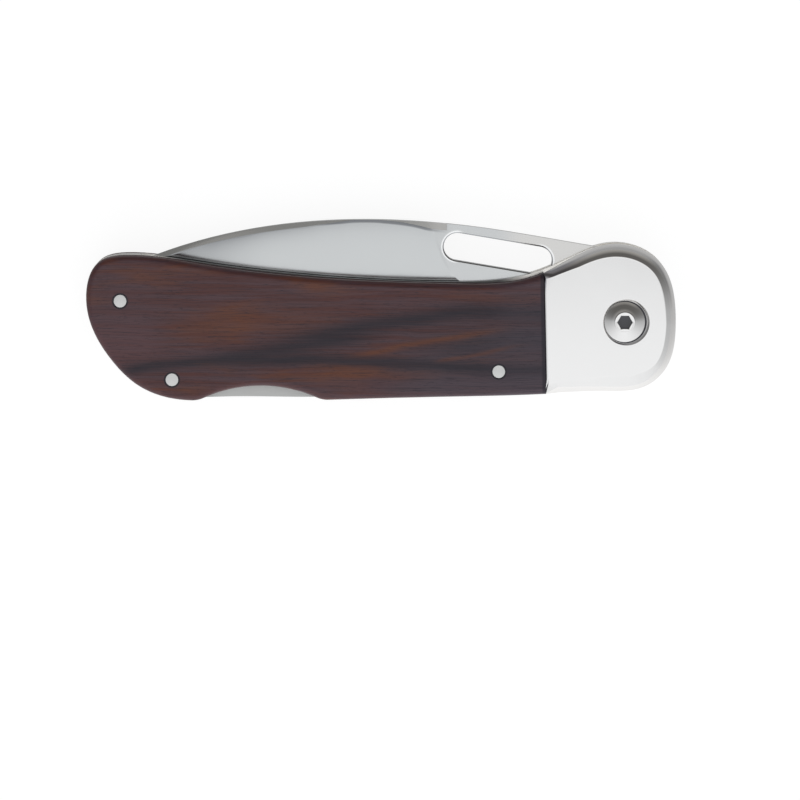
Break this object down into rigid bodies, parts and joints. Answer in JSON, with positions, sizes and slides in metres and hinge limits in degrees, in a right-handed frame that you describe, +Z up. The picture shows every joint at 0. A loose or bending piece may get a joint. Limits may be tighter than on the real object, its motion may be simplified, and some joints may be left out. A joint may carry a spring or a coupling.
{
  "type": "folding pocket knife",
  "caption": "Lock-back folding pocket knife, closed, with dark wood scales, polished steel bolsters, a slotted satin blade and a sprung lock bar in the handle's back.",
  "frame": {"origin": "under the middle of the closed knife, on the plane that its rear covers rest on", "axes": "+X towards the bolster and pivot end, +Y towards the side that the blade opens on, +Z up out of the front covers"},
  "size_m": [0.1114, 0.034, 0.015],
  "materials": {
    "scale_wood": "oiled and buffed dark hardwood",
    "bolster_steel": "mirror polished",
    "liner_steel": "satin",
    "blade_steel": "satin, ground across the blade",
    "pivot_steel": "bright",
    "bearing_bronze": "turned",
    "lock_steel": "satin",
    "spring_steel": "tempered",
    "pin_steel": "ground flush"
  },
  "bodies": {
    "handle": {"front_scale": "scale_wood", "rear_scale": "scale_wood", "front_bolster": "bolster_steel", "rear_bolster": "bolster_steel", "front_liner": "liner_steel", "rear_liner": "liner_steel", "pivot_screw": "pivot_steel", "pivot_barrel": "pivot_steel", "pivot_bushing": "bearing_bronze", "front_washer": "bearing_bronze", "rear_washer": "bearing_bronze", "butt_spacer": "lock_steel", "lock_spring": "spring_steel", "front_bolster_rivets": "pin_steel", "rear_bolster_rivets": "pin_steel", "lock_bar_pin": "pin_steel", "upper_butt_pin": "pin_steel", "lower_butt_pin": "pin_steel"},
    "blade": {"blade": "blade_steel"},
    "lock_bar": {"lock_bar": "lock_steel"}
  },
  "joints": [
    {"name": "blade_pivot", "type": "hinge", "parent": "handle", "child": "blade", "pos_m": [0.04593, -0.00202, 0.0068], "axis": [0, 0, -1], "range_deg": [0, 172]},
    {"name": "lock_bar_rocker", "type": "hinge", "parent": "handle", "child": "lock_bar", "pos_m": [0.02219, -0.01144, 0.0068], "axis": [0, 0, -1], "range_deg": [0, 3.5], "stiffness_Nm_per_rad": 1, "springref_deg": -8.59, "deforming": ["lock_spring"]}
  ]
}
